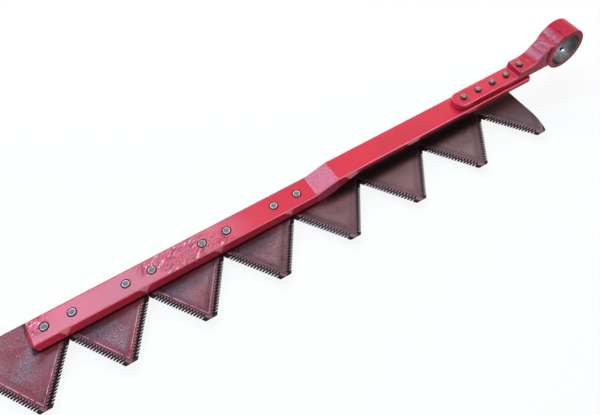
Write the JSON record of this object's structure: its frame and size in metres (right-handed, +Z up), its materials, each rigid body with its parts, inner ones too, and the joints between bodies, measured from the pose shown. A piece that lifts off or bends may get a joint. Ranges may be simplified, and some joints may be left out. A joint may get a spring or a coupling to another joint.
{
  "type": "sickle bar mower knife",
  "caption": "Reciprocating knife of a sickle bar mower: serrated triangular sections under a joggled red head bar, with a forged knife head and drive eye at one end.",
  "frame": {"origin": "middle of the base: the middle of the knife's length and depth, on the underside of the knife back", "axes": "+X along the knife towards the drive eye, +Y away from the section tips, +Z up out of the sections' bevelled face"},
  "size_m": [0.6644, 0.0852, 0.0662],
  "materials": {
    "section_lacquer": "thin brown lacquer over hardened steel, satin",
    "bar_paint": "glossy crimson enamel",
    "head_paint": "glossy crimson enamel, bare machined bore",
    "back_steel": "dark drawn steel",
    "section_rivet_steel": "grey zinc, flat ends with light rims",
    "head_rivet_steel": "grey steel, low round heads"
  },
  "bodies": {
    "root": {"section_1": "section_lacquer", "section_2": "section_lacquer", "section_3": "section_lacquer", "section_4": "section_lacquer", "section_5": "section_lacquer", "section_6": "section_lacquer", "section_7": "section_lacquer", "end_section": "section_lacquer", "knife_back": "back_steel", "head_bar": "bar_paint", "knife_head": "head_paint", "section_rivet_1": "section_rivet_steel", "section_rivet_2": "section_rivet_steel", "section_rivet_3": "section_rivet_steel", "section_rivet_4": "section_rivet_steel", "section_rivet_5": "section_rivet_steel", "section_rivet_6": "section_rivet_steel", "section_rivet_7": "section_rivet_steel", "section_rivet_8": "section_rivet_steel", "section_rivet_9": "section_rivet_steel", "section_rivet_10": "section_rivet_steel", "section_rivet_11": "section_rivet_steel", "section_rivet_12": "section_rivet_steel", "section_rivet_13": "section_rivet_steel", "section_rivet_14": "section_rivet_steel", "section_rivet_15": "section_rivet_steel", "section_rivet_16": "section_rivet_steel", "head_rivet_1": "head_rivet_steel", "head_rivet_2": "head_rivet_steel", "head_rivet_3": "head_rivet_steel", "head_rivet_4": "head_rivet_steel", "neck_rivet": "head_rivet_steel"}
  },
  "joints": []
}
